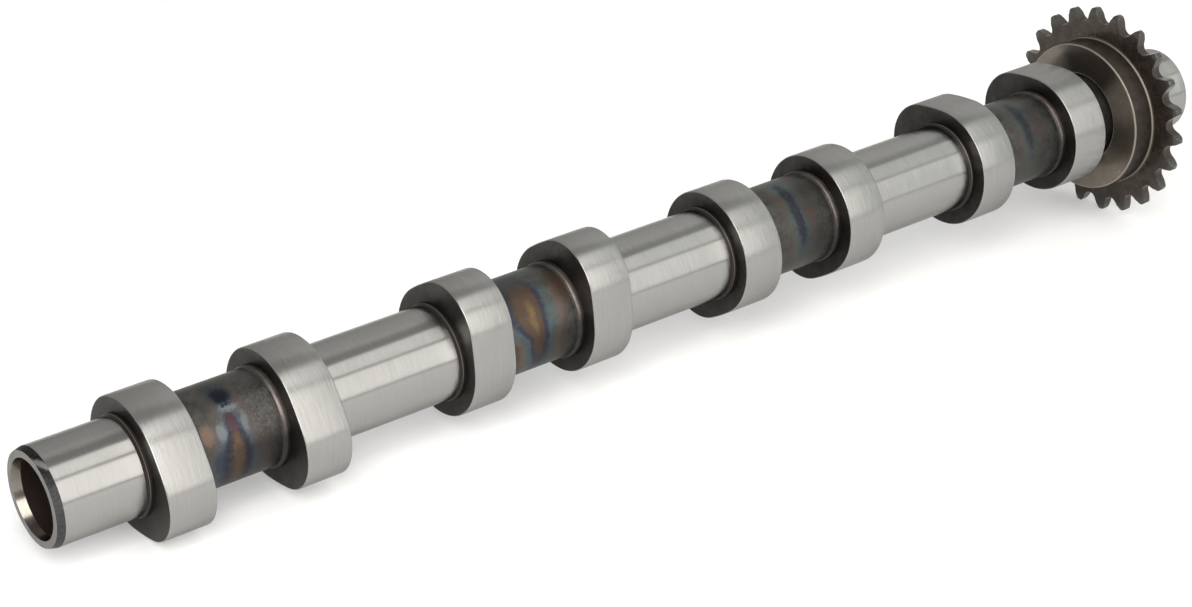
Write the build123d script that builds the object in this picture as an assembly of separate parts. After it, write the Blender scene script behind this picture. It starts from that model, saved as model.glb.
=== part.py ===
from build123d import *
from math import acos, atan2, cos, degrees, pi, radians, sin, sqrt
import os

# Assembled camshaft of a four-cylinder engine, in millimetres.
# The shaft axis is +X and starts at the front end face; +Z is up as the shaft lies on a bench.

# Shaft tube
journal_diameter = 24.0
raw_stock = 0.1             # left on the radius where the tube isn't ground
tube_wall = 2.6
mouth_step = 0.25           # the turned mouth is larger than the drawn bore
mouth_depth = 2.4
lead_length = 1.9           # slim lead-in cone on the front end
lead_angle = 15.0
rear_bevel = 0.5
rear_journal_length = 22.3

# Places of the lobes along the shaft
cylinder_pitch = 84.6
lobe_spacing = 35.8         # between the two lobes of one cylinder
front_length = 23.3         # from the front face to the first lobe
neck_length = 6.8           # from the last lobe to the sprocket hub
firing_order = (1, 3, 4, 2)

# Rolled seats and grinding run-outs beside the lobes
seat_height = 0.4           # rolled-up seat above the raw tube
seat_overhang = 1.6         # seat left in view between the lobes of a pair
grinding_gap = 1.4          # from a lobe face to the ground journal
relief_width = 0.8
relief_depth = 0.3

# Cam lobes
lobe_width = 12.0
base_circle_diameter = 33.0
cam_lift = 3.6
nose_radius = 12.4
flank_radius = 68.0
first_nose_angle = 205.4    # of cylinder 1, turned about +X from +Y

# Chain sprocket
teeth = 22
chain_pitch = 8.0
gap_seat_radius = 2.15
gap_seat_angle = 112.5      # wrapped by the seat, before the straight flanks
tooth_height = 4.15         # from the gap's bottom to the tip
tooth_width = 2.8
tooth_bevel_width = 0.75
tooth_bevel_height = 2.2
hub_length = 7.2
hub_step = 4.65             # from the hub up to the gaps' bottoms
hub_edge = 0.5

# Worked out from the sizes above
cylinders = len(firing_order)
journal_radius = journal_diameter / 2
tube_radius = journal_radius + raw_stock
bore_radius = tube_radius - tube_wall
mouth_radius = bore_radius + mouth_step
seat_radius = tube_radius + seat_height
base_radius = base_circle_diameter / 2
pitch_radius = chain_pitch / (2 * sin(pi / teeth))
root_radius = pitch_radius - gap_seat_radius
tip_radius = root_radius + tooth_height
hub_radius = root_radius - hub_step
last_lobe_end = front_length + (cylinders - 1) * cylinder_pitch + lobe_spacing + lobe_width
hub_start = last_lobe_end + neck_length
disc_start = hub_start + hub_length
disc_end = disc_start + tooth_width
shaft_length = disc_end + rear_journal_length


def pair_start(cylinder):
    # Front face of the first lobe of a cylinder's pair
    return front_length + (cylinder - 1) * cylinder_pitch


def pair_end(cylinder):
    # Rear face of the second lobe of the pair
    return pair_start(cylinder) + lobe_spacing + lobe_width


def ring_section(start, end, inner, outer):
    # Half section of a plain ring on the shaft axis
    return Polygon((start, inner), (end, inner), (end, outer), (start, outer), align=None)


def seat_section(start, end):
    # Rolled seat whose two shoulders slope down to the raw tube at 45 degrees
    inner = bore_radius + tube_wall / 2
    foot_start = start - seat_height
    foot_end = end + seat_height
    return Polygon(
        (foot_start, inner), (foot_end, inner), (foot_end, tube_radius), (end, seat_radius),
        (start, seat_radius), (foot_start, tube_radius), align=None)


def journal_cut(start, end):
    # Stock ground off between two places on the shaft
    return ring_section(start, end, journal_radius, 2 * seat_radius)


def relief_cut(start):
    # Narrow groove where the grinding wheel runs out, with one sloping side
    floor = journal_radius - relief_depth
    outer = 2 * seat_radius
    slope_end = start + relief_width
    return Polygon(
        (start, floor), (slope_end, seat_radius), (slope_end, outer), (start, outer), align=None)


def shaft_tube():
    # Half section of the raw tube, turned about the shaft axis at the end
    section = ring_section(0, shaft_length, bore_radius, tube_radius)
    for cylinder in range(1, cylinders + 1):
        start = pair_start(cylinder)
        end = pair_end(cylinder)
        strip = grinding_gap - relief_width
        section += seat_section(start - strip, start + lobe_width + seat_overhang)
        section += seat_section(end - lobe_width - seat_overhang, end + grinding_gap)

    # Ground journals: the front one, one between each two pairs, and the rear one
    section -= journal_cut(-1, pair_start(1) - grinding_gap)
    for cylinder in range(1, cylinders):
        start = pair_end(cylinder) + grinding_gap
        section -= journal_cut(start, pair_start(cylinder + 1) - grinding_gap)
    section -= journal_cut(disc_end, shaft_length + 1)

    # Run-out groove between each journal and the lobe behind it, and a plain one at the sprocket
    for cylinder in range(1, cylinders + 1):
        section -= relief_cut(pair_start(cylinder) - grinding_gap)
    floor = journal_radius - relief_depth
    section -= ring_section(disc_end, disc_end + relief_width, floor, 2 * seat_radius)

    # Lead-in cone and turned mouth at the front, small bevel at the rear
    lead_rise = lead_length * sin(radians(lead_angle)) / cos(radians(lead_angle))
    lead = Polygon(
        (0, journal_radius - lead_rise), (lead_length, journal_radius),
        (lead_length, 2 * journal_radius), (0, 2 * journal_radius), align=None)
    rear = Polygon(
        (shaft_length, journal_radius - rear_bevel), (shaft_length, 2 * journal_radius),
        (shaft_length - rear_bevel, 2 * journal_radius), (shaft_length - rear_bevel, journal_radius),
        align=None)
    mouth = ring_section(-1, mouth_depth, 0, mouth_radius)
    section -= [lead, rear, mouth]
    return revolve(section, Axis.X)


def arc_between(centre, radius, start, end):
    # Arc from one direction to another, both in degrees and counter-clockwise
    return CenterArc(centre, radius, start, (end - start) % 360)


def cam_outline():
    # Base circle, two wide flank arcs and the nose arc, all tangent, with the nose along +X
    nose_centre = base_radius + cam_lift - nose_radius
    flank_offset = flank_radius - base_radius
    nose_offset = flank_radius - nose_radius
    lean = acos(
        (flank_offset ** 2 + nose_centre ** 2 - nose_offset ** 2) / (2 * flank_offset * nose_centre))
    centre_x = flank_offset * cos(lean)
    centre_y = flank_offset * sin(lean)
    base_turn = 180 - degrees(lean)
    nose_turn = degrees(atan2(centre_y, nose_centre - centre_x))
    outline = arc_between((nose_centre, 0), nose_radius, -nose_turn, nose_turn)
    outline += arc_between((centre_x, -centre_y), flank_radius, nose_turn, base_turn)
    outline += arc_between((0, 0), base_radius, base_turn, -base_turn)
    outline += arc_between((centre_x, centre_y), flank_radius, -base_turn, -nose_turn)
    return make_face(outline)


def cam_lobe(cylinder, start):
    # Forged ring, pressed over the rolled seat
    turn = first_nose_angle + firing_order.index(cylinder) * 360 / cylinders
    profile = Rot(0, 0, turn) * cam_outline() - Circle(seat_radius)
    return extrude(Plane.YZ.offset(start) * profile, lobe_width)


def flank_foot():
    # Where the seat arc of a gap ends and its straight flank begins, for a gap centred on +X
    half_seat = radians(gap_seat_angle / 2)
    return Vector(pitch_radius - gap_seat_radius * cos(half_seat), gap_seat_radius * sin(half_seat))


def flank_end():
    # Where that flank, tangent to the seat, reaches the tip circle
    foot = flank_foot()
    half_seat = radians(gap_seat_angle / 2)
    along = Vector(sin(half_seat), cos(half_seat))
    run = foot.dot(along)
    return foot + along * (sqrt(run ** 2 + tip_radius ** 2 - foot.length ** 2) - run)


def tooth_gap():
    # Outline of one gap, from a tip's edge down round the seat and up to the next tip's edge
    foot = flank_foot()
    tip = flank_end()
    half_seat = gap_seat_angle / 2
    gap = Line(tip, foot)
    gap += arc_between((pitch_radius, 0), gap_seat_radius, 180 - half_seat, 180 + half_seat)
    gap += Line((foot.X, -foot.Y), (tip.X, -tip.Y))
    return gap


def toothed_face():
    # All gaps joined by arcs of the tip circle, with one gap facing straight down
    step = 360 / teeth
    tip = flank_end()
    half_gap = degrees(atan2(tip.Y, tip.X))
    one_step = tooth_gap().edges()
    one_step.append(arc_between((0, 0), tip_radius, half_gap, step - half_gap).edge())
    turns = [Rot(0, 0, -90 + number * step) for number in range(teeth)]
    return make_face([turn * edge for turn in turns for edge in one_step])


def sprocket_blank():
    # Hub and disc in half section, with the disc bevelled on both sides towards the tips
    bevel_start = tip_radius - tooth_bevel_height
    end = hub_length + tooth_width
    section = Polygon(
        (0, tube_radius), (end, tube_radius),
        (end, bevel_start), (end - tooth_bevel_width, tip_radius),
        (hub_length + tooth_bevel_width, tip_radius), (hub_length, bevel_start),
        (hub_length, hub_radius), (hub_edge, hub_radius), (0, hub_radius - hub_edge), align=None)
    return revolve(section, Axis.X)


def chain_sprocket():
    # The tooth gaps are cut through the disc, past the hub
    band = extrude(Plane.YZ.offset(hub_length) * toothed_face(), tooth_width)
    hub = extrude(Plane.YZ * Circle(root_radius - hub_step / 2), hub_length)
    return Pos(hub_start, 0, 0) * (sprocket_blank() & (band + hub))


os.makedirs("parts", exist_ok=True)
pieces = {"shaft_tube": shaft_tube(), "chain_sprocket": chain_sprocket()}
for cylinder in range(1, cylinders + 1):
    start = pair_start(cylinder)
    pieces[f"cam_lobe_{2 * cylinder - 1}"] = cam_lobe(cylinder, start)
    pieces[f"cam_lobe_{2 * cylinder}"] = cam_lobe(cylinder, start + lobe_spacing)
for name, piece in pieces.items():
    piece.label = name
    export_step(piece, f"parts/{name}.step")
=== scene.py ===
from math import acos, atan2, cos, pi, radians, sin

import bmesh
import bpy
from mathutils import Matrix, Vector


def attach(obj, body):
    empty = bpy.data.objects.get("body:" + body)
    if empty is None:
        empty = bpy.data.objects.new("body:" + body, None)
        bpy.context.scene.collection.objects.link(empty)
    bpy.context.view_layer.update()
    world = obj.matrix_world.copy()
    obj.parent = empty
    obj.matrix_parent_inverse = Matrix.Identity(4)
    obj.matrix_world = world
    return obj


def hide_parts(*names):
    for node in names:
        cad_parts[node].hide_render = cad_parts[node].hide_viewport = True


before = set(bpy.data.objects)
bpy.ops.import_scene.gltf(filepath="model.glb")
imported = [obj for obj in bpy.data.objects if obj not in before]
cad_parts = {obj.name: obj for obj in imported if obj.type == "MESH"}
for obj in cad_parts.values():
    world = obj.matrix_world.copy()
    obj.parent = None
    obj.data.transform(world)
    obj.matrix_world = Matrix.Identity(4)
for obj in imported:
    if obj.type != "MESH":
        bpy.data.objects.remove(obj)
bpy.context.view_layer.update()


# Shaft tube: a drawn steel tube whose bearing journals are ground bright. Between the two lobes of a
# cylinder it keeps its dark drawn skin, where heat has left rings of thin coloured oxide. Its front end
# has a blackened lead-in cone and a turned mouth. Lengths are in millimetres along the shaft.
MM = 0.001
CYLINDER_PITCH = 84.6
FIRST_LOBE = 23.3
LOBE_WIDTH = 12.0
LOBE_SPACING = 35.8
GRINDING_GAP = 1.4
RELIEF_WIDTH = 0.8
SEAT_OVERHANG = 1.6
JOURNAL_RADIUS = 12.0
TUBE_RADIUS = 12.1
SEAT_RADIUS = 12.5
MOUTH_RADIUS = 9.75
MOUTH_DEPTH = 2.4
LEAD_LENGTH = 1.9
FRONT_FACE_RADIUS = 11.49
PAIR_LENGTH = LOBE_SPACING + LOBE_WIDTH
NECK_START = FIRST_LOBE + 3 * CYLINDER_PITCH + PAIR_LENGTH
REAR_JOURNAL_START = 342.5
REAR_BEVEL_START = 363.5


class Tone:
    """A socket whose value changes over a surface, written in sums like a number."""

    def __init__(self, tree, socket=None):
        self.tree = tree
        self.socket = socket

    def node(self, kind, settings, inputs, output=0):
        """Any node, from its type, its settings or ramp stops, and the values or links of its sockets."""
        made = self.tree.nodes.new(kind)
        for name, value in settings.items():
            if name == "stops":
                ramp = made.color_ramp
                while len(ramp.elements) < len(value):
                    ramp.elements.new(0.5)
                for element, (place, colour) in zip(ramp.elements, value):
                    element.position = place
                    element.color = (*colour, 1.0)
            else:
                setattr(made, name, value)
        for name, value in inputs.items():
            join(self.tree, value, made.inputs[name])
        return Tone(self.tree, made.outputs[output])

    def maths(self, operation, first, second=0.0):
        return self.node("ShaderNodeMath", {"operation": operation}, {0: first, 1: second})

    def __add__(self, other):
        return self.maths("ADD", self, other)

    def __sub__(self, other):
        return self.maths("SUBTRACT", self, other)

    def __mul__(self, other):
        return self.maths("MULTIPLY", self, other)

    def __truediv__(self, other):
        return self.maths("DIVIDE", self, other)

    def __radd__(self, other):
        return self.maths("ADD", other, self)

    def __rsub__(self, other):
        return self.maths("SUBTRACT", other, self)

    def __rmul__(self, other):
        return self.maths("MULTIPLY", other, self)

    def run(self, low, high, at_low=0.0, at_high=1.0):
        """Goes smoothly from at_low, where this is low, to at_high, where it is high."""
        ends = {"From Min": low, "From Max": high, "To Min": at_low, "To Max": at_high}
        return self.node("ShaderNodeMapRange", {"interpolation_type": "SMOOTHSTEP"}, {"Value": self, **ends})

    def within(self, low, high, soft):
        """1 from low to high and 0 outside, with soft edges."""
        return self.run(low - soft / 2, low + soft / 2) * self.run(high - soft / 2, high + soft / 2, 1.0, 0.0)

    def blend(self, low, high):
        """A colour between two others, with this as the share of the second."""
        return self.node("ShaderNodeMix", {"data_type": "RGBA"}, {0: self, 6: low, 7: high}, output=2)

    def shade(self, colour):
        """A colour made lighter or darker by this factor."""
        return self.node("ShaderNodeVectorMath", {"operation": "SCALE"}, {0: colour, "Scale": self})


def join(tree, value, socket):
    """Links a Tone to a socket, or sets the socket to a plain number, vector or colour."""
    if isinstance(value, Tone):
        tree.links.new(value.socket, socket)
    elif socket.type == "RGBA" and len(value) == 3:
        socket.default_value = (*value, 1.0)
    else:
        socket.default_value = value


def new_finish(name):
    """A new material, its surface shader and a Tone to build its nodes with."""
    material = bpy.data.materials.new(name)
    material.use_nodes = True
    return material, material.node_tree.nodes["Principled BSDF"], Tone(material.node_tree)


def shaft_places(tone):
    """Millimetres along the shaft and from its axis, degrees round it, and two vectors for noise."""
    position = tone.node("ShaderNodeTexCoord", {}, {}, output="Object")
    position = tone.node("ShaderNodeVectorMath", {"operation": "SCALE"}, {0: position, "Scale": 1 / MM})
    split = tone.node("ShaderNodeSeparateXYZ", {}, {0: position}).socket.node
    along, across, up = (Tone(tone.tree, split.outputs[axis]) for axis in "XYZ")
    radius = tone.maths("SQRT", across * across + up * up)

    # 0 degrees is on the far side, 90 on top and 180 on the viewer's side
    turn = tone.maths("ARCTAN2", up * -1, across * -1) * (180 / pi) + 180
    rings = {"X": along, "Y": across / radius, "Z": up / radius}
    rings = tone.node("ShaderNodeCombineXYZ", {}, rings)
    return along, radius, turn, position, rings


def noise(tone, place, stretch, scale, detail, roughness):
    """Noise from 0 to 1, stretched by its own amount along each direction."""
    place = tone.node("ShaderNodeVectorMath", {"operation": "MULTIPLY"}, {0: place, 1: stretch})
    inputs = {"Vector": place, "Scale": scale, "Detail": detail, "Roughness": roughness}
    return tone.node("ShaderNodeTexNoise", {}, inputs)


def spot(tone, along, turn, middle, direction, length, spread):
    """A soft oval patch on the tube: 1 in its middle and 0 at its edge."""
    x = (along - middle) / length
    y = (turn - direction) / spread
    return tone.maths("SQRT", x * x + y * y).run(0.4, 1.0, 1.0, 0.0)


def tilt_endwise(tone, facing, amount):
    """Leans the surface towards the rear end of the shaft by an amount, or to its front by a negative one."""
    lean = tone.node("ShaderNodeCombineXYZ", {}, {"X": amount})
    leaning = tone.node("ShaderNodeVectorMath", {"operation": "ADD"}, {0: facing, 1: lean})
    return tone.node("ShaderNodeVectorMath", {"operation": "NORMALIZE"}, {0: leaning})


GROUND_STEEL = (0.330, 0.325, 0.313)
GRAZING_STEEL = (0.58, 0.58, 0.57, 1.0)
GRINDING_BLUR = 0.9
ALL_WAYS = (1.0, 1.0, 1.0)
tube_finish, tube_shader, tone = new_finish("tube_steel")
along, radius, turn, position, rings = shaft_places(tone)
phase = tone.maths("FLOORED_MODULO", along - FIRST_LOBE, CYLINDER_PITCH)
cylinder = tone.maths("FLOOR", (along - FIRST_LOBE) / CYLINDER_PITCH)
on_pair = [cylinder.within(number - 0.5, number + 0.5, 0.1) for number in range(4)]

# Ground zones: the front journal, one behind each pair of lobes, and the rear one
ground = phase.within(PAIR_LENGTH + GRINDING_GAP, CYLINDER_PITCH - GRINDING_GAP, 0.1)
ground = ground * along.run(NECK_START - 1, NECK_START, 1.0, 0.0)
ground = ground + along.run(REAR_JOURNAL_START, REAR_JOURNAL_START + 0.1)
ground = ground * radius.run(JOURNAL_RADIUS - 0.22, JOURNAL_RADIUS - 0.1)
ground = ground * along.run(LEAD_LENGTH - 0.1, LEAD_LENGTH + 0.05)
wheel_marks = noise(tone, rings, (9.0, 1.3, 1.3), 1.0, 3.0, 0.6)
ground_colour = wheel_marks.run(0.25, 0.75, 0.95, 1.05).shade(GROUND_STEEL)

# Oxide colours over the dark skin, by the distance in millimetres from the middle of a heated stretch.
# The first pair of lobes has a long stretch, the second a hot wedge, and the last two a faint blue patch.
GOLD = (0.150, 0.094, 0.040)
BROWN = (0.104, 0.066, 0.040)
RUST = (0.080, 0.048, 0.032)
DARK_BROWN = (0.056, 0.036, 0.032)
WINE = (0.066, 0.028, 0.034)
VIOLET = (0.028, 0.030, 0.052)
NIGHT_BLUE = (0.020, 0.026, 0.044)
PALE_BLUE = (0.066, 0.082, 0.100)
TEAL = (0.064, 0.090, 0.100)
OLIVE = (0.078, 0.092, 0.076)
SALMON = (0.118, 0.078, 0.064)
ROSE = (0.076, 0.062, 0.055)
DULL = (0.052, 0.048, 0.044)
OXIDE_REACH = 14.0
long_stretch = [(0.0, BROWN), (0.7, BROWN), (1.3, DARK_BROWN), (1.9, NIGHT_BLUE), (2.3, NIGHT_BLUE),
                (3.4, PALE_BLUE), (5.0, ROSE), (6.4, ROSE), (9.0, DULL), (14.0, DULL)]
hot_wedge = [(0.0, GOLD), (0.4, GOLD), (1.1, RUST), (2.1, RUST), (2.6, DARK_BROWN), (3.0, VIOLET),
             (3.6, VIOLET), (4.6, TEAL), (5.6, TEAL), (6.8, OLIVE), (8.6, SALMON), (10.5, RUST), (14.0, DULL)]
blue_patch = [(0.0, NIGHT_BLUE), (1.0, NIGHT_BLUE), (2.0, TEAL), (3.2, OLIVE), (4.8, ROSE), (6.5, DULL),
              (14.0, DULL)]

# A row for each pair: the middle of the stretch, in millimetres behind the first lobe, then its width
# to the front and to the rear, each on top and lower down, the directions between which it runs, those
# over which it fades in from the top, the distances over which it fades out, its strength and colours
heated_stretches = (
    (10.7, (0.75, 1.6), (0.65, 1.1), (172, 205), (90, 100), (5.0, 10.0), 0.95, long_stretch),
    (10.1, (1.9, 0.6), (1.0, 0.75), (142, 155), (92, 126), (7.5, 12.5), 0.92, hot_wedge),
    (11.2, (0.9, 0.8), (0.9, 0.9), (112, 154), (60, 90), (4.0, 9.5), 0.80, blue_patch),
    (11.3, (0.9, 0.8), (0.9, 0.8), (114, 140), (60, 90), (3.0, 8.5), 0.62, blue_patch))
WAVINESS = 2.4
FRAYING = 2.2
SPREAD_PAST_END = 0.06
scale_marks = noise(tone, position, ALL_WAYS, 0.35, 5.0, 0.65)
fine_marks = noise(tone, position, ALL_WAYS, 1.6, 4.0, 0.7)
waves = noise(tone, rings, (0.10, 1.6, 1.6), 1.0, 3.0, 0.55)
place = phase - LOBE_WIDTH + (waves - 0.5) * WAVINESS
broken = noise(tone, position, ALL_WAYS, 0.55, 4.0, 0.6).run(0.32, 0.56, 0.45, 1.0)
skin = (scale_marks * 0.6 + fine_marks * 0.4).run(0.36, 0.62)
skin = skin.blend((0.040, 0.038, 0.035), (0.074, 0.071, 0.065))
for number, stretch in enumerate(heated_stretches):
    middle, front_width, rear_width, (first, last), fade_in, fade_out, strength, oxides = stretch
    to_front = (middle - place) / turn.run(138, 182, *front_width)
    to_rear = (place - middle) / turn.run(138, 182, *rear_width)
    beside = tone.maths("MAXIMUM", to_front, to_rear)
    beyond = tone.maths("MAXIMUM", first - turn, turn - last)
    beyond = tone.maths("MAXIMUM", beyond, 0.0) * SPREAD_PAST_END
    reach = tone.maths("SQRT", beside * beside + beyond * beyond) + (fine_marks - 0.5) * FRAYING
    stops = [(distance / OXIDE_REACH, colour) for distance, colour in oxides]
    oxide = tone.node("ShaderNodeValToRGB", {"stops": stops}, {0: reach / OXIDE_REACH})
    share = on_pair[number] * reach.run(*fade_out, strength, 0.0) * broken
    share = share * turn.run(*fade_in, 0.35, 1.0)
    skin = share.blend(skin, oxide)

# Single patches: the pair, the middle and direction of the patch, its length and spread, strength and
# colour. The first stretch has a wine-red tip, pale and salmon patches beside it, a bare strip and a
# soot-dark spot above it. The others have brown and rosy patches.
wavy_turn = turn + (fine_marks - 0.5) * 26
patches = (
    (0, 10.6, 143, 1.6, 15, 0.80, WINE),
    (0, 3.8, 148, 2.4, 16, 0.60, (0.165, 0.102, 0.072)),
    (0, 7.3, 150, 1.7, 15, 0.60, (0.150, 0.172, 0.182)),
    (0, 13.7, 145, 1.2, 17, 0.50, (0.140, 0.165, 0.175)),
    (0, 5.6, 184, 2.4, 20, 0.60, NIGHT_BLUE),
    (0, 11.2, 126, 3.4, 5.0, 0.85, (0.150, 0.158, 0.156)),
    (0, 10.4, 98, 4.6, 30, 0.60, (0.018, 0.032, 0.036)),
    (0, 10.9, 109, 3.2, 17, 0.97, (0.006, 0.008, 0.018)),
    (1, 20.2, 121, 3.8, 26, 0.60, (0.084, 0.048, 0.033)),
    (2, 15.4, 146, 2.8, 24, 0.46, (0.100, 0.056, 0.050)),
    (2, 8.0, 118, 2.4, 20, 0.50, (0.088, 0.056, 0.040)),
    (3, 14.8, 142, 3.2, 26, 0.50, (0.092, 0.058, 0.062)),
    (3, 8.4, 148, 2.0, 16, 0.50, (0.092, 0.058, 0.050)))
for number, middle, direction, length, spread, strength, colour in patches:
    patch = spot(tone, place, wavy_turn, middle, direction, length, spread) * strength
    skin = (patch * on_pair[number]).blend(skin, colour)

# Scuffs in front of the second lobe, most on the first pair, and painted shade that darkens the stretches
# towards the second lobe, lower down and on the last pairs
scuffed = phase.within(LOBE_WIDTH + 14.5, LOBE_WIDTH + 21.5, 3.0) * turn.within(112, 172, 25)
scuffed = scuffed * fine_marks.run(0.48, 0.66) * cylinder.run(0, 2.5, 0.5, 0.1)
skin = scuffed.blend(skin, (0.115, 0.103, 0.098))
# Painted shade: the skin is blended towards black low on the viewer's side and on the last pairs, nearer the
# second lobe
low_side = turn.run(160, 180)
late_pairs = cylinder.run(0.8, 1.6) * turn.run(95, 120)
painted_shade = low_side * 0.5 + (1 - low_side) * late_pairs * 0.4
skin = (painted_shade * place.run(4, 14)).blend(skin, (0.002, 0.002, 0.002))

# Rolled seats show as light strips in front of the second lobes, lighter rolled steel painted only on their
# lit side as a painted highlight, and the run-out grooves in front of the first ones as dark brown strips
# with painted highlights on their edges
seat = phase.within(LOBE_SPACING - SEAT_OVERHANG, LOBE_SPACING, 0.1)
seat = seat * radius.run(SEAT_RADIUS - 0.12, SEAT_RADIUS - 0.04)
# Painted highlight: the seats are lighter only on the side that faces the lights
rolled_seat_highlight = seat * turn.within(100, 165, 30) * scale_marks.run(0.3, 0.6, 0.5, 1.0)
skin = rolled_seat_highlight.blend(skin, (0.155, 0.128, 0.118))
relief_start = CYLINDER_PITCH - GRINDING_GAP
relief_end = relief_start + RELIEF_WIDTH
run_out = phase.run(relief_start - 0.1, relief_start)
# The groove's lighter edges are painted highlights, only on the lit side
edges = phase.within(relief_end - 0.12, relief_end + 0.04, 0.06)
edges = edges + phase.within(relief_end + 0.3, relief_end + 0.4, 0.06) * 0.5
edges = edges * turn.within(70, 190, 50)
skin = run_out.blend(skin, edges.blend((0.030, 0.024, 0.021), (0.135, 0.116, 0.104)))

# Ends: light annular faces, and at the front the blackened cone with painted shade on top and a painted
# glint, the turned mouth with painted shade low on its wall, and the dark bore
inside = radius.run(MOUTH_RADIUS + 0.02, MOUTH_RADIUS + 0.1, 1.0, 0.0)
mouth = inside * along.run(MOUTH_DEPTH - 0.1, MOUTH_DEPTH, 1.0, 0.0)
facing = tone.node("ShaderNodeNewGeometry", {}, {}, output="Normal")
endwise = tone.node("ShaderNodeSeparateXYZ", {}, {0: facing})
front_face = along.run(0.02, 0.1, 1.0, 0.0) * tone.maths("ABSOLUTE", endwise).run(0.8, 0.95)
rear_face = along.run(REAR_BEVEL_START - 0.03, REAR_BEVEL_START + 0.03) * (1 - inside)
cone = along.run(LEAD_LENGTH - 0.02, LEAD_LENGTH + 0.02, 1.0, 0.0)
cone = cone * radius.run(FRONT_FACE_RADIUS - 0.09, FRONT_FACE_RADIUS - 0.01) * (1 - front_face)
colour = ground.blend(skin, ground_colour)
colour = inside.blend(colour, (0.050, 0.034, 0.029))
turned_wall = scale_marks.run(0.3, 0.7).blend((0.170, 0.150, 0.130), (0.235, 0.210, 0.184))
# Painted shade: the mouth's wall is darker low down
turned_wall = (turn.within(225, 298, 24) * 0.75).blend(turned_wall, (0.040, 0.026, 0.026))
colour = mouth.blend(colour, turned_wall)
black = fine_marks.run(0.36, 0.62).blend((0.003, 0.003, 0.003), (0.022, 0.021, 0.020))
grey = fine_marks.run(0.36, 0.62).blend((0.040, 0.041, 0.042), (0.064, 0.062, 0.066))
# The cone is blacker on top and greyer on the viewer's side as painted shade, and a lighter spot on it is a
# painted glint
blackening_with_painted_light = turn.run(128, 165).blend(black, grey)
painted_glint = spot(tone, along, turn - along * 6 + fine_marks * 16, 1.0, 115, 2.6, 9)
blackening_with_painted_light = painted_glint.blend(blackening_with_painted_light, (0.18, 0.18, 0.175))
colour = cone.blend(colour, blackening_with_painted_light)
end_steel = scale_marks.run(0.3, 0.7).blend((0.168, 0.165, 0.158), (0.230, 0.224, 0.215))
colour = (front_face + rear_face).blend(colour, end_steel)
join(tone.tree, colour, tube_shader.inputs["Base Color"])
satin = scale_marks * 0.2 + 0.26 + cone * 0.12
satin = satin * (1 - mouth) + mouth * 0.19
polish = wheel_marks * 0.05 + 0.135
join(tone.tree, ground * polish + (1 - ground) * satin, tube_shader.inputs["Roughness"])
join(tone.tree, tone.maths("MAXIMUM", ground, mouth) * 0.35 + 0.65, tube_shader.inputs["Metallic"])
tube_shader.inputs["Specular Tint"].default_value = GRAZING_STEEL

# The wheel's fine marks run round the journals and blur their shine endwise, less near a journal's rear
# end, which is a little crowned. In the mouth the turning tool left ridges, whose lit sides face out of
# the tube, and the rolled seats have a round top.
grit = noise(tone, rings, (170.0, 2.0, 2.0), 1.0, 0.0, 0.5) - 0.5
rolled = phase.run(LOBE_SPACING - SEAT_OVERHANG, LOBE_SPACING, -0.55, 0.3)
calm = phase.run(relief_start - 12.6, relief_start, GRINDING_BLUR, GRINDING_BLUR * 0.3)
crown = phase.run(relief_start - 6.6, relief_start) * 0.08
lean = ground * (grit * calm - crown) + mouth * (grit * 0.2 - 0.35) + seat * rolled
join(tone.tree, tilt_endwise(tone, facing, lean), tube_shader.inputs["Normal"])
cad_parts["shaft_tube"].material_slots[0].material = tube_finish


# Cam lobes: forged steel rings pressed over the rolled seats. The rims are ground bright right to their
# small edge bevels, and the side faces keep the dark skin of the heat treatment.
BASE_RADIUS = 16.5
CAM_LIFT = 3.6
NOSE_RADIUS = 12.4
FLANK_RADIUS = 68.0
RIM_BEVEL = 0.3
FIRST_NOSE_ANGLE = 205.4
FIRING_ORDER = (1, 3, 4, 2)
NOSE_STEPS = 14
FLANK_STEPS = 10
BASE_STEPS = 36
SHARP_CORNER = 1.0

lobe_finish, lobe_shader, tone = new_finish("ground_and_dark_lobe")
along, radius, turn, position, rings = shaft_places(tone)
facing = tone.node("ShaderNodeNewGeometry", {}, {}, output="Normal")
endwise = tone.node("ShaderNodeSeparateXYZ", {}, {0: facing})
side = tone.maths("ABSOLUTE", endwise).run(0.88, 0.97)
wheel_marks = noise(tone, rings, (7.0, 2.4, 2.4), 1.0, 4.0, 0.62)
blotches = noise(tone, position, ALL_WAYS, 0.16, 4.0, 0.6)
scale_marks = noise(tone, position, ALL_WAYS, 0.45, 5.0, 0.65)
rim_colour = wheel_marks.run(0.25, 0.75, 0.9, 1.06).shade(GROUND_STEEL)

# The dark skin gets painted light: painted shade near the tube, a painted highlight low on the viewer's side,
# a painted shadow round the tube on top, and it is darker towards the rear
skin = (scale_marks * 0.5 + blotches * 0.5).run(0.35, 0.65)
skin = skin.blend((0.030, 0.0275, 0.0245), (0.053, 0.051, 0.0465))
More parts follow.
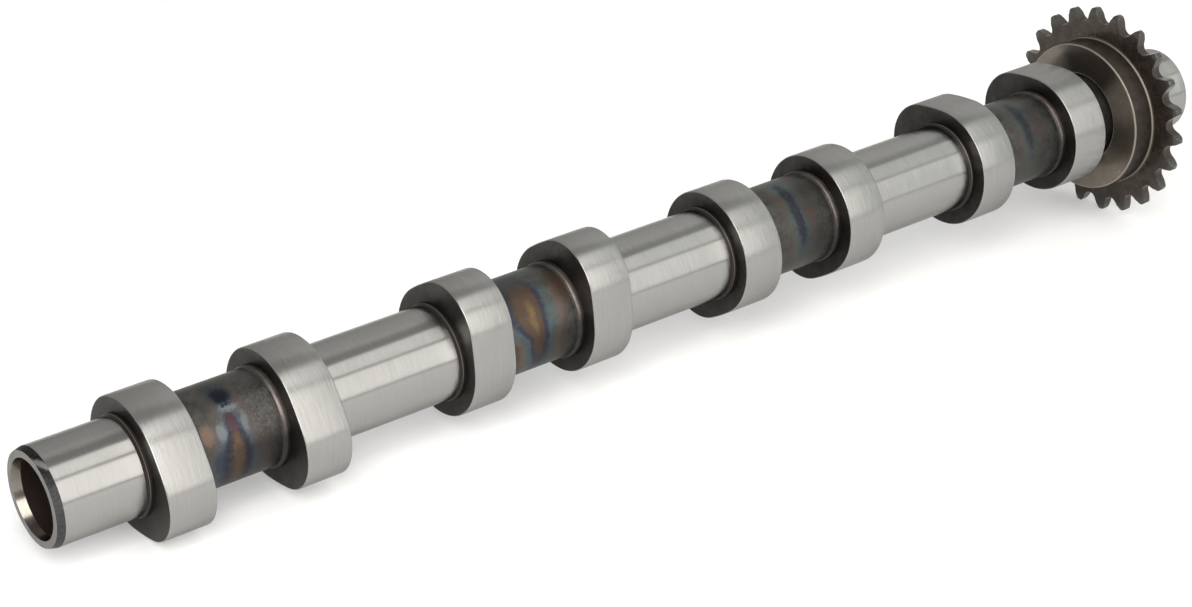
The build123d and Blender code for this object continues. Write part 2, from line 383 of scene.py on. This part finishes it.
# A painted highlight low on the viewer's side and a painted shadow round the tube on top
painted_highlight_low = turn.within(132, 164, 14) * 0.9
painted_shadow_top = turn.within(70, 112, 24) * radius.run(13.0, 16.5, 0.5, 0.0)
painted_light_level = radius.run(12.6, 17.0, 0.66, 1.1) * along.run(20, 320, 1.0, 0.72) * (painted_highlight_low + 1 - painted_shadow_top)
join(tone.tree, side.blend(rim_colour, painted_light_level.shade(skin)), lobe_shader.inputs["Base Color"])
polish = wheel_marks * 0.08 + 0.21
satin = scale_marks * 0.1 + 0.28
join(tone.tree, (1 - side) * polish + side * satin, lobe_shader.inputs["Roughness"])
grit = noise(tone, rings, (170.0, 3.0, 3.0), 1.0, 0.0, 0.5) - 0.5
crown = along.run(NECK_START - LOBE_WIDTH, NECK_START) * 0.18
lean = (1 - side) * (grit * GRINDING_BLUR - crown)
join(tone.tree, tilt_endwise(tone, facing, lean), lobe_shader.inputs["Normal"])
join(tone.tree, 1 - side * 0.3, lobe_shader.inputs["Metallic"])
lobe_shader.inputs["Specular Tint"].default_value = GRAZING_STEEL


def shaft_turn(angle):
    """A turn about the shaft axis, in degrees from +Y towards +Z."""
    return Matrix.Rotation(radians(angle), 3, "X")


def arc(bm, end, centre, angle, steps):
    """Carries an outline on from its end, round a centre in the plane across the shaft."""
    made = bmesh.ops.spin(bm, geom=[end], cent=centre, axis=(1, 0, 0), dvec=(0, 0, 0), angle=angle,
                          steps=steps, use_merge=False, use_duplicate=False)
    return next(part for part in made["geom_last"] if isinstance(part, bmesh.types.BMVert))


def next_ring(bm, edges, x, radius=None, limit=None):
    """Extrudes a closed outline to x, onto a circle, or to where nothing is further out than a limit."""
    made = bmesh.ops.extrude_edge_only(bm, edges=edges)["geom"]
    fresh = {part for part in made if isinstance(part, bmesh.types.BMVert)}
    for vert in fresh:
        outward = Vector((0, vert.co.y, vert.co.z))
        outward.length = radius or min(outward.length, limit or outward.length)
        vert.co = outward + Vector((x, 0, 0))
    made_edges = [part for part in made if isinstance(part, bmesh.types.BMEdge)]
    return [edge for edge in made_edges if fresh.issuperset(edge.verts)]


def finished_piece(bm, name, finish):
    """Closes a mesh, turns its faces outwards and makes a piece that rides on the part."""
    bmesh.ops.remove_doubles(bm, verts=bm.verts[:], dist=0.001)
    bmesh.ops.recalc_face_normals(bm, faces=bm.faces[:])
    for face in bm.faces:
        face.smooth = abs(face.normal.x) < 0.999
    bmesh.ops.scale(bm, verts=bm.verts[:], vec=(MM, MM, MM))
    mesh = bpy.data.meshes.new(name)
    bm.to_mesh(mesh)
    bm.free()
    mesh.materials.append(finish)
    piece = bpy.data.objects.new(name, mesh)
    bpy.context.scene.collection.objects.link(piece)
    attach(piece, "root")
    return piece


# Nose, flank and base arcs all meet as tangents
nose_centre = BASE_RADIUS + CAM_LIFT - NOSE_RADIUS
flank_offset = FLANK_RADIUS - BASE_RADIUS
flank_lean = acos((flank_offset ** 2 + nose_centre ** 2 - (FLANK_RADIUS - NOSE_RADIUS) ** 2)
                  / (2 * flank_offset * nose_centre))
flank_centre = Vector((0, flank_offset * cos(flank_lean), -flank_offset * sin(flank_lean)))
nose_turn = atan2(flank_offset * sin(flank_lean), nose_centre - flank_offset * cos(flank_lean))

for number in range(2 * len(FIRING_ORDER)):
    cylinder, second = divmod(number, 2)
    x = FIRST_LOBE + cylinder * CYLINDER_PITCH + second * LOBE_SPACING
    bm = bmesh.new()
    tip = bm.verts.new((x, BASE_RADIUS + CAM_LIFT, 0))
    end = arc(bm, tip, (x, nose_centre, 0), nose_turn, NOSE_STEPS)
    end = arc(bm, end, flank_centre + Vector((x, 0, 0)), pi - flank_lean - nose_turn, FLANK_STEPS)
    arc(bm, end, (x, 0, 0), flank_lean, BASE_STEPS)
    bmesh.ops.mirror(bm, geom=bm.verts[:] + bm.edges[:], axis="Z", merge_dist=0.001)
    rim = bm.edges[:]
    bore = next_ring(bm, rim, x, radius=SEAT_RADIUS)
    rear_rim = next_ring(bm, rim, x + LOBE_WIDTH)
    next_ring(bm, rear_rim, x + LOBE_WIDTH, radius=SEAT_RADIUS)
    next_ring(bm, bore, x + LOBE_WIDTH, radius=SEAT_RADIUS)
    bmesh.ops.remove_doubles(bm, verts=bm.verts[:], dist=0.001)
    bmesh.ops.recalc_face_normals(bm, faces=bm.faces[:])
    rims = [edge for edge in bm.edges
            if len(edge.link_faces) == 2 and edge.calc_face_angle() > SHARP_CORNER
            and min(vert.co.yz.length for vert in edge.verts) > SEAT_RADIUS + 0.5]
    bmesh.ops.bevel(bm, geom=rims, offset=RIM_BEVEL, segments=3, profile=0.5, material=-1, affect="EDGES")
    nose_angle = FIRST_NOSE_ANGLE + FIRING_ORDER.index(cylinder + 1) * 90
    bmesh.ops.rotate(bm, verts=bm.verts[:], cent=(0, 0, 0), matrix=shaft_turn(nose_angle))
    lobe = finished_piece(bm, f"ground_lobe_{number + 1}", lobe_finish)
    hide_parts(f"cam_lobe_{number + 1}")


# Chain sprocket: case-hardened steel, dark brown from its heat treatment, turned with its hub in one
# piece and pressed on behind the last lobe. Its teeth are rounded off and bevelled on both sides.
TEETH = 22
CHAIN_PITCH = 8.0
GAP_SEAT_RADIUS = 2.15
GAP_SEAT_ANGLE = 130.0
TOOTH_FLANK_RADIUS = 18.0
TOOTH_HEIGHT = 4.15
TOOTH_WIDTH = 2.8
TOOTH_BEVEL_WIDTH = 0.35
TOOTH_BEVEL_HEIGHT = 1.3
TIP_ROUNDING = 0.5
HUB_STEP = 4.65
HUB_START = NECK_START + 6.8
HUB_LENGTH = 7.2
HUB_EDGE = 0.5
HUB_FILLET = 0.7
BORE_BEVEL = 0.9
SEAT_STEPS = 7
TOOTH_STEPS = 4
BEVEL_STEPS = 4
FILLET_STEPS = 6
EDGE_STEPS = 3
disc_start = HUB_START + HUB_LENGTH
disc_end = disc_start + TOOTH_WIDTH
pitch_radius = CHAIN_PITCH / (2 * sin(pi / TEETH))
root_radius = pitch_radius - GAP_SEAT_RADIUS
tip_radius = root_radius + TOOTH_HEIGHT
hub_radius = root_radius - HUB_STEP
bevel_radius = tip_radius - TOOTH_BEVEL_HEIGHT

# Half a gap, from its bottom up the seat arc, along the flank and round the tip to the tooth's middle
half_seat = radians(GAP_SEAT_ANGLE / 2)
bm = bmesh.new()
bottom = bm.verts.new((0, root_radius, 0))
foot = arc(bm, bottom, (0, pitch_radius, 0), -half_seat, SEAT_STEPS)
into_tooth = Vector((0, -cos(half_seat), sin(half_seat)))
climb = Vector((0, sin(half_seat), cos(half_seat)))
bulge_centre = foot.co + into_tooth * TOOTH_FLANK_RADIUS
from_axis = Vector((bulge_centre.dot(into_tooth), bulge_centre.dot(climb)))
meeting = (bulge_centre.length ** 2 + TOOTH_FLANK_RADIUS ** 2 - tip_radius ** 2) / (2 * TOOTH_FLANK_RADIUS)
flank_bend = acos(meeting / from_axis.length) - atan2(from_axis.y, from_axis.x)
tip_edge = arc(bm, foot, bulge_centre, flank_bend, TOOTH_STEPS)
tip_angle = atan2(tip_edge.co.z, tip_edge.co.y)
arc(bm, tip_edge, (0, 0, 0), pi / TEETH - tip_angle, TOOTH_STEPS)
bmesh.ops.mirror(bm, geom=bm.verts[:] + bm.edges[:], axis="Z", merge_dist=0.001)
bmesh.ops.spin(bm, geom=bm.verts[:] + bm.edges[:], cent=(0, 0, 0), axis=(1, 0, 0), dvec=(0, 0, 0),
               angle=2 * pi * (TEETH - 1) / TEETH, steps=TEETH - 1, use_merge=False, use_duplicate=True)
bmesh.ops.remove_doubles(bm, verts=bm.verts[:], dist=0.01)
bmesh.ops.rotate(bm, verts=bm.verts[:], cent=(0, 0, 0), matrix=shaft_turn(-90))

# The tips' corners, where a long edge of the flank meets a short one of the tip, are rounded in the flat
# outline, which has a face only for that
bmesh.ops.contextual_create(bm, geom=bm.edges[:])
corners = []
for vert in bm.verts:
    lengths = [edge.calc_length() for edge in vert.link_edges]
    if abs(vert.co.length - tip_radius) < 0.01 and min(lengths) * 2 < max(lengths):
        corners.append(vert)
bmesh.ops.bevel(bm, geom=corners, offset=TIP_ROUNDING, segments=4, profile=0.5, material=-1,
                affect="VERTICES")
bmesh.ops.delete(bm, geom=bm.faces[:], context="FACES_ONLY")
front_outline = bm.edges[:]
bmesh.ops.translate(bm, verts=bm.verts[:], vec=(disc_start + TOOTH_BEVEL_WIDTH, 0, 0))
rear_outline = next_ring(bm, front_outline, disc_end - TOOTH_BEVEL_WIDTH)

# The teeth's bevels, step by step inwards on both sides
for step in range(1, BEVEL_STEPS + 1):
    depth = TOOTH_BEVEL_WIDTH * (1 - step / BEVEL_STEPS)
    limit = bevel_radius + TOOTH_BEVEL_HEIGHT * (1 - step / BEVEL_STEPS)
    front_outline = next_ring(bm, front_outline, disc_start + depth, limit=limit)
    rear_outline = next_ring(bm, rear_outline, disc_end - depth, limit=limit)

# From the front of the disc over the hub and through the bore to the back
ring = next_ring(bm, front_outline, disc_start, radius=hub_radius + HUB_FILLET)
for step in range(1, FILLET_STEPS + 1):
    bend = step / FILLET_STEPS * pi / 2
    ring = next_ring(bm, ring, disc_start - HUB_FILLET * (1 - cos(bend)),
                     radius=hub_radius + HUB_FILLET * (1 - sin(bend)))
ring = next_ring(bm, ring, HUB_START + HUB_EDGE, radius=hub_radius)
for step in range(1, EDGE_STEPS + 1):
    bend = step / EDGE_STEPS * pi / 2
    ring = next_ring(bm, ring, HUB_START + HUB_EDGE * (1 - sin(bend)),
                     radius=hub_radius - HUB_EDGE * (1 - cos(bend)))
ring = next_ring(bm, ring, HUB_START, radius=TUBE_RADIUS + BORE_BEVEL)
ring = next_ring(bm, ring, HUB_START + BORE_BEVEL, radius=TUBE_RADIUS)
next_ring(bm, ring, disc_end, radius=TUBE_RADIUS)
next_ring(bm, rear_outline, disc_end, radius=TUBE_RADIUS)

# Dark brown with greyer tips and a darker hub side, painted highlights on the hub's edges, fillet and bore
# bevel, and a lighter turned hub face with two sectors of painted dark reflection
sprocket_finish, sprocket_shader, tone = new_finish("dark_brown_sprocket")
along, radius, turn, position, rings = shaft_places(tone)
scale_marks = noise(tone, position, ALL_WAYS, 0.4, 5.0, 0.65)
tips = radius.run(root_radius + 0.5, tip_radius)
turned_face = along.run(HUB_START + 0.02, HUB_START + 0.06, 1.0, 0.0)
hub_side = radius.run(hub_radius + 0.3, hub_radius + 0.4, 1.0, 0.0) * (1 - turned_face)
fillet_shine = along.within(disc_start - HUB_FILLET, disc_start - 0.2, 0.2)
fillet_shine = fillet_shine * radius.run(hub_radius + 0.8, hub_radius + 0.55)
hub_rim = along.run(HUB_START + 0.25, HUB_START + 0.5, 1.0, 0.0)
hub_rim = hub_rim * radius.run(hub_radius - 0.45, hub_radius - 0.3)
bore_rim = radius.within(TUBE_RADIUS + BORE_BEVEL - 0.3, TUBE_RADIUS + BORE_BEVEL + 0.15, 0.1)
# Painted highlights on the fillet, the hub's rim and the bore's bevel
painted_edge_highlights = tone.maths("MAXIMUM", fillet_shine, tone.maths("MAXIMUM", hub_rim, bore_rim))
# Two sectors of painted dark reflection on the turned face
painted_dark_reflections = turn.within(66, 131, 20) * 0.8 + turn.within(167, 205, 26) * 0.6
face_steel = scale_marks.run(0.3, 0.7).blend((0.165, 0.143, 0.115), (0.200, 0.172, 0.140))
colour = scale_marks.run(0.3, 0.7).blend((0.034, 0.027, 0.022), (0.064, 0.051, 0.041))
colour = (tips * 0.6).blend(colour, (0.085, 0.086, 0.080))
colour = (hub_side * 0.45).blend(colour, (0.008, 0.006, 0.005))
colour = turned_face.blend(colour, painted_dark_reflections.blend(face_steel, (0.012, 0.009, 0.007)))
colour = (painted_edge_highlights * 0.7).blend(colour, (0.34, 0.295, 0.24))
join(tone.tree, colour, sprocket_shader.inputs["Base Color"])
join(tone.tree, scale_marks * 0.14 + 0.18 + hub_side * 0.2, sprocket_shader.inputs["Roughness"])
join(tone.tree, 0.6 - turned_face * 0.1 - bore_rim * 0.2, sprocket_shader.inputs["Metallic"])
sprocket = finished_piece(bm, "rounded_sprocket", sprocket_finish)
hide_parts("chain_sprocket")


# Table: a pale sheet that the shaft lies on, touched by the first lobe and by the sprocket's two lowest
# teeth. The shaft's own frame is a little out of level there, so the sheet slopes in it. It glows a
# little where it is seen, to come out white, and keeps the shaft's shadow.
FRONT_REST = Vector((23.3, 0.0, -16.5))
REAR_REST = Vector((338.9, 0.0, -29.8))
TABLE_REACH = 6000.0
TABLE_GAP = 0.1
TABLE_GLOW = 0.21


def stage_sheet(name, corners, material):
    """One flat face that isn't part of the object."""
    bm = bmesh.new()
    bm.faces.new([bm.verts.new(Vector(corner) * MM) for corner in corners])
    mesh = bpy.data.meshes.new(name)
    bm.to_mesh(mesh)
    bm.free()
    mesh.materials.append(material)
    sheet = bpy.data.objects.new(name, mesh)
    bpy.context.scene.collection.objects.link(sheet)
    return sheet


def table_point(x, y):
    """A point of the table's top, which lies just below the places that the shaft rests on."""
    slope = (REAR_REST.z - FRONT_REST.z) / (REAR_REST.x - FRONT_REST.x)
    return (x, y, FRONT_REST.z + (x - FRONT_REST.x) * slope - TABLE_GAP)


table_finish, table_shader, tone = new_finish("table_paper")
table_shader.inputs["Base Color"].default_value = (0.80, 0.80, 0.80, 1.0)
table_shader.inputs["Roughness"].default_value = 1.0
table_shader.inputs["Specular IOR Level"].default_value = 0.0
path = tone.node("ShaderNodeLightPath", {}, {}).socket.node
camera_ray, glossy_ray, through_ray = (
    Tone(tone.tree, path.outputs[name]) for name in ("Is Camera Ray", "Is Glossy Ray", "Is Transmission Ray"))
seen = tone.maths("MINIMUM", camera_ray + glossy_ray + through_ray, 1.0)
join(tone.tree, seen * TABLE_GLOW, table_shader.inputs["Emission Strength"])
table_shader.inputs["Emission Color"].default_value = (1.0, 1.0, 1.0, 1.0)
stage_sheet("table", [
    table_point(-TABLE_REACH, -TABLE_REACH), table_point(TABLE_REACH, -TABLE_REACH),
    table_point(TABLE_REACH, TABLE_REACH), table_point(-TABLE_REACH, TABLE_REACH)], table_finish)


# Studio: a tall softbox on the viewer's side, a flat one overhead, a bright one beyond the front end,
# a thin strip light and a grey flag beside it. They show as the stripes in the ground steel, and they
# dim and turn a little greener towards the rear.
REAR_TINT = (0.95, 0.985, 0.95)


def softbox(name, corners, levels, tint):
    """levels: (how far along it is over how far aside, brightness), from the front to the rear"""
    material, shader, tone = new_finish(name)
    tone.tree.nodes.remove(shader)
    position = tone.node("ShaderNodeTexCoord", {}, {}, output="Object")
    split = tone.node("ShaderNodeSeparateXYZ", {}, {0: position}).socket.node
    x, y, z = (Tone(tone.tree, split.outputs[axis]) for axis in "XYZ")
    slant = x / tone.maths("SQRT", y * y + z * z)
    first, last = levels[0][0], levels[-1][0]
    top = max(level for place, level in levels)
    stops = [((place - first) / (last - first), (level / top,) * 3) for place, level in levels]
    strength = tone.node("ShaderNodeValToRGB", {"stops": stops}, {0: (slant - first) / (last - first)}) * top
    tint = slant.run(0.2, 1.3).blend(tint, REAR_TINT)
    light = tone.node("ShaderNodeEmission", {}, {"Color": tint, "Strength": strength})
    tone.tree.links.new(light.socket, tone.tree.nodes["Material Output"].inputs["Surface"])
    box = stage_sheet(name, corners, material)
    box.visible_camera = False


softbox("side_softbox",
        [(-150, -1000, 52), (2200, -1000, 52), (2200, -1000, 1190), (-150, -1000, 1190)],
        [(-0.6, 2.15), (0.42, 2.42), (0.64, 2.09), (0.86, 1.78), (1.08, 1.52), (1.3, 0.92), (2.0, 0.7)],
        (1.0, 0.965, 0.94))
softbox("top_softbox",
        [(-150, -680, 1000), (2200, -680, 1000), (2200, 280, 1000), (-150, -225, 1000)],
        [(-0.6, 2.0), (0.35, 2.1), (0.60, 1.66), (0.82, 1.44), (1.04, 1.25), (1.3, 1.0), (2.0, 0.85)],
        (1.0, 0.975, 0.95))
softbox("front_softbox",
        [(-1100, -1000, 420), (-150, -1000, 420), (-150, -380, 1100), (-1100, -380, 1100)],
        [(-2.0, 5.6), (0.0, 5.6)],
        (1.0, 0.99, 0.97))
softbox("grey_flag",
        [(-600, -260, 1010), (2200, 300, 1010), (2200, 500, 1010), (-600, 200, 1010)],
        [(-0.6, 0.41), (0.35, 0.41), (1.1, 0.6), (2.0, 0.64)],
        (1.0, 0.99, 0.97))
softbox("strip_light",
        [(-600, 490, 1000), (2200, 490, 1000), (2200, 530, 1000), (-600, 530, 1000)],
        [(-0.6, 1.0), (0.35, 1.0), (1.1, 0.9), (2.0, 0.85)],
        (1.0, 0.99, 0.97))

# The room itself is brightest beyond the rear end of the shaft
world = bpy.data.worlds.new("studio_room")
bpy.context.scene.world = world
world.use_nodes = True
tone = Tone(world.node_tree)
sight = tone.node("ShaderNodeTexCoord", {}, {}, output="Generated")
rearward = tone.node("ShaderNodeSeparateXYZ", {}, {0: sight})
background = world.node_tree.nodes["Background"]
background.inputs["Color"].default_value = (1.0, 0.995, 0.975, 1.0)
join(world.node_tree, rearward.run(0.2, 0.8, 0.54, 1.0), background.inputs["Strength"])


# Camera at the reference view, found from the outlines of the lobes, journals and teeth.
CAMERA_PLACE = Vector((-208.293, -477.078, 308.168))
CAMERA_RIGHT = Vector((0.79002807, -0.61293237, -0.01302167))
CAMERA_UP = Vector((0.29104749, 0.35627718, 0.88789522))
camera_data = bpy.data.cameras.new("camera")
camera_data.sensor_width = 36.0
camera_data.lens = 81.2533
camera_data.clip_start = 0.01
camera = bpy.data.objects.new("camera", camera_data)
turned = Matrix((CAMERA_RIGHT, CAMERA_UP, CAMERA_RIGHT.cross(CAMERA_UP))).transposed()
camera.matrix_world = Matrix.Translation(CAMERA_PLACE * MM) @ turned.to_4x4()
bpy.context.scene.collection.objects.link(camera)
bpy.context.scene.camera = camera

bpy.context.scene.view_settings.view_transform = "Standard"
